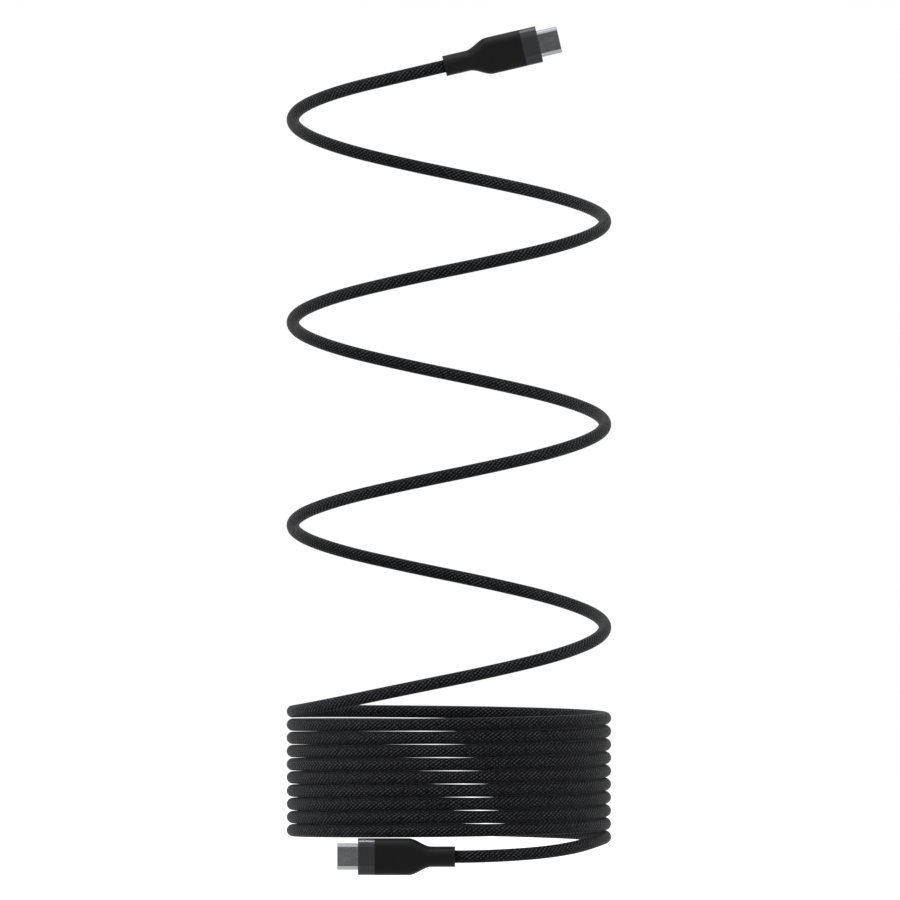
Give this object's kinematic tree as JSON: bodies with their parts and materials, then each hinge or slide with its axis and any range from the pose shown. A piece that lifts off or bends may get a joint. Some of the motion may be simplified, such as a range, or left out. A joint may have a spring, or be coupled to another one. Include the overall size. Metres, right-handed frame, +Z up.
{
  "type": "usb-c charging cable",
  "caption": "Braided charging cable with a flat USB-C plug at each end, wound as a tall helix: its upper turns pulled open, its lower turns neatly stacked.",
  "frame": {"origin": "the top plug's seat: the middle of its metal shell where the shell leaves the trim ring", "axes": "+Z up along the helix's axis; +Y from the front, which both plugs' broad faces turn to, through the plugs' thickness to the back; +X to the right"},
  "size_m": [0.1021, 0.1033, 0.2643],
  "materials": {
    "connector_steel": "satin, nickel plated",
    "housing_resin": "moulded, fine matte",
    "contact_gold": "gold plated",
    "spring_steel": "bright stamped strip",
    "board_laminate": "solder mask on glass laminate",
    "chip_resin": "moulded epoxy",
    "chip_ceramic": "fired, with tinned ends",
    "power_insulation": "extruded insulation",
    "signal_insulation": "extruded insulation",
    "shield_steel": "tinned sheet",
    "ferrule_brass": "crimped sleeve",
    "cord_braid": "braided nylon yarn, slight sheen",
    "inner_resin": "low-pressure moulding",
    "face_resin": "moulded, fine matte",
    "trim_aluminium": "blasted and anodised, dark blue-grey",
    "grip_rubber": "overmoulded, soft matte"
  },
  "bodies": {
    "root": {"top_plug_shell": "connector_steel", "top_plug_contact_housing": "housing_resin", "top_plug_contacts_row_a": "contact_gold", "top_plug_contacts_row_b": "contact_gold", "top_plug_latch_plate": "spring_steel", "top_plug_ground_springs": "spring_steel", "top_plug_circuit_board": "board_laminate", "top_plug_control_chip": "chip_resin", "top_plug_board_parts": "chip_ceramic", "top_plug_power_wires": "power_insulation", "top_plug_signal_wires": "signal_insulation", "top_plug_shield_front_half": "shield_steel", "top_plug_shield_back_half": "shield_steel", "top_plug_crimp_ferrule": "ferrule_brass", "top_plug_cord_end": "cord_braid", "top_plug_inner_mould": "inner_resin", "top_plug_face_plate": "face_resin", "top_plug_trim_ring": "trim_aluminium", "top_plug_grip": "grip_rubber", "bottom_plug_shell": "connector_steel", "bottom_plug_contact_housing": "housing_resin", "bottom_plug_contacts_row_a": "contact_gold", "bottom_plug_contacts_row_b": "contact_gold", "bottom_plug_latch_plate": "spring_steel", "bottom_plug_ground_springs": "spring_steel", "bottom_plug_circuit_board": "board_laminate", "bottom_plug_control_chip": "chip_resin", "bottom_plug_board_parts": "chip_ceramic", "bottom_plug_power_wires": "power_insulation", "bottom_plug_signal_wires": "signal_insulation", "bottom_plug_shield_front_half": "shield_steel", "bottom_plug_shield_back_half": "shield_steel", "bottom_plug_crimp_ferrule": "ferrule_brass", "bottom_plug_cord_end": "cord_braid", "bottom_plug_inner_mould": "inner_resin", "bottom_plug_face_plate": "face_resin", "bottom_plug_trim_ring": "trim_aluminium", "bottom_plug_grip": "grip_rubber", "cord_open_turns": "cord_braid", "cord_stacked_turns": "cord_braid", "cord_tail": "cord_braid"}
  },
  "joints": []
}
